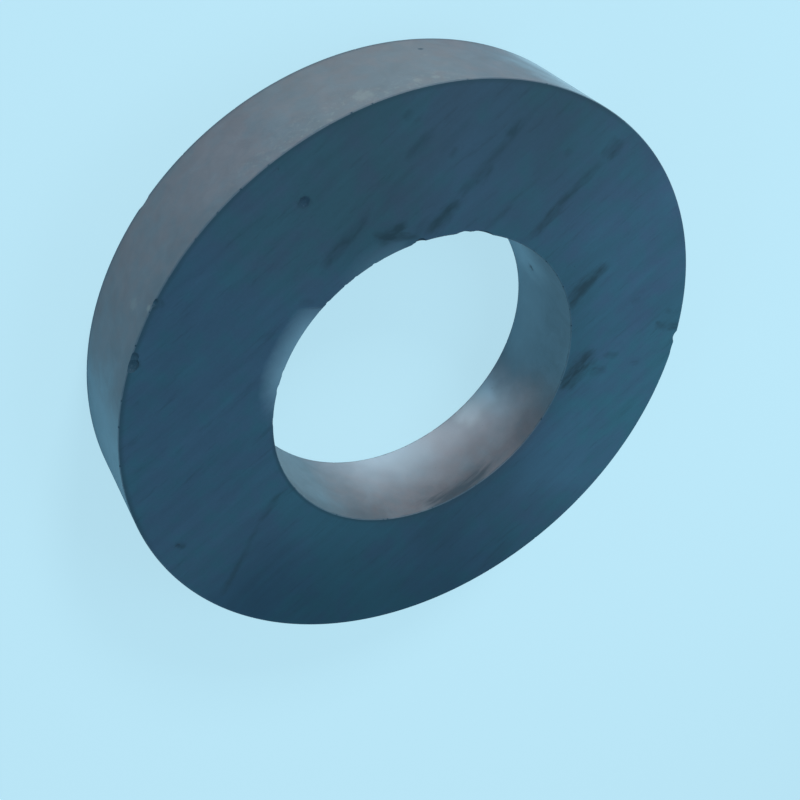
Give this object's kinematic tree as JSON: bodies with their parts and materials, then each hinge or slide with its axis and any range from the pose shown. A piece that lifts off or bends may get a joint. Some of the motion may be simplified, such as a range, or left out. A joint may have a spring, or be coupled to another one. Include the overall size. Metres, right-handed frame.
{
  "type": "ring magnet",
  "caption": "Flat ring of grey hard ferrite with a plain round bore, ground faces, an as-fired rim and bore, and small chips along its edges.",
  "frame": {"origin": "centre of the back face, where the ring rests, on the axis of the bore", "axes": "+Z along the axis of the bore, out of the front face; the deepest notch in the bore's front edge lies at 241 degrees from +X towards +Y"},
  "size_m": [0.06, 0.06, 0.01],
  "materials": {
    "ferrite": "matt fired ferrite, with the two flat faces ground"
  },
  "bodies": {
    "root": {"ring_magnet": "ferrite"}
  },
  "joints": []
}
